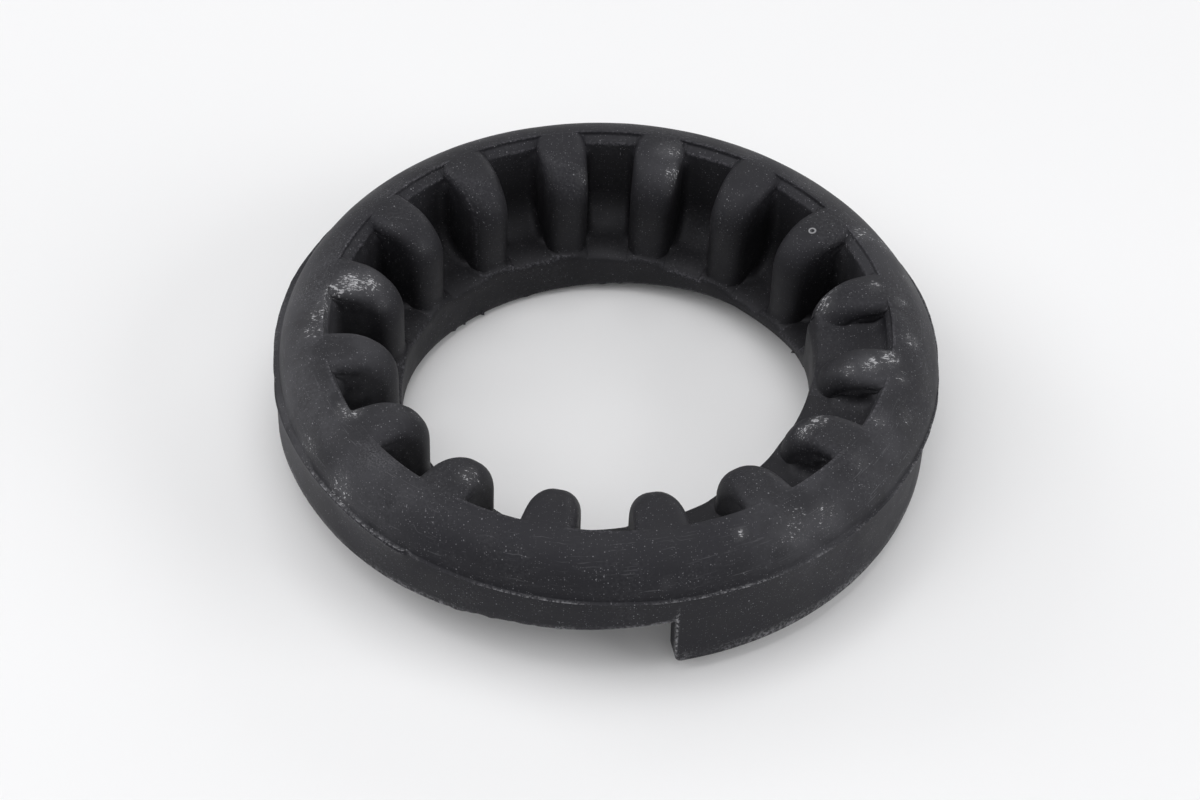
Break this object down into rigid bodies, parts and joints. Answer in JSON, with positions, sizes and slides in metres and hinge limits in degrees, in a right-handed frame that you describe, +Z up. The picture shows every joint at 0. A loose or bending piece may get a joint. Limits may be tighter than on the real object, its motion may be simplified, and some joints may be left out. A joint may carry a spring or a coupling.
{
  "type": "coil spring insulator",
  "caption": "Moulded rubber ring for the end of a coil spring, with radial ribs and open pockets on top, a rounded shoulder, a stepped skirt and a slanting collar below.",
  "frame": {"origin": "on the ring's axis, at the level of the collar's lowest point", "axes": "+Z up along the ring's axis, from the spring side to the ribbed side; -Y towards the front, where the skirt's step is"},
  "size_m": [0.14, 0.14, 0.0341],
  "materials": {
    "rubber": "matt charcoal moulded rubber, faintly dusty"
  },
  "bodies": {
    "root": {"spring_insulator": "rubber"}
  },
  "joints": []
}
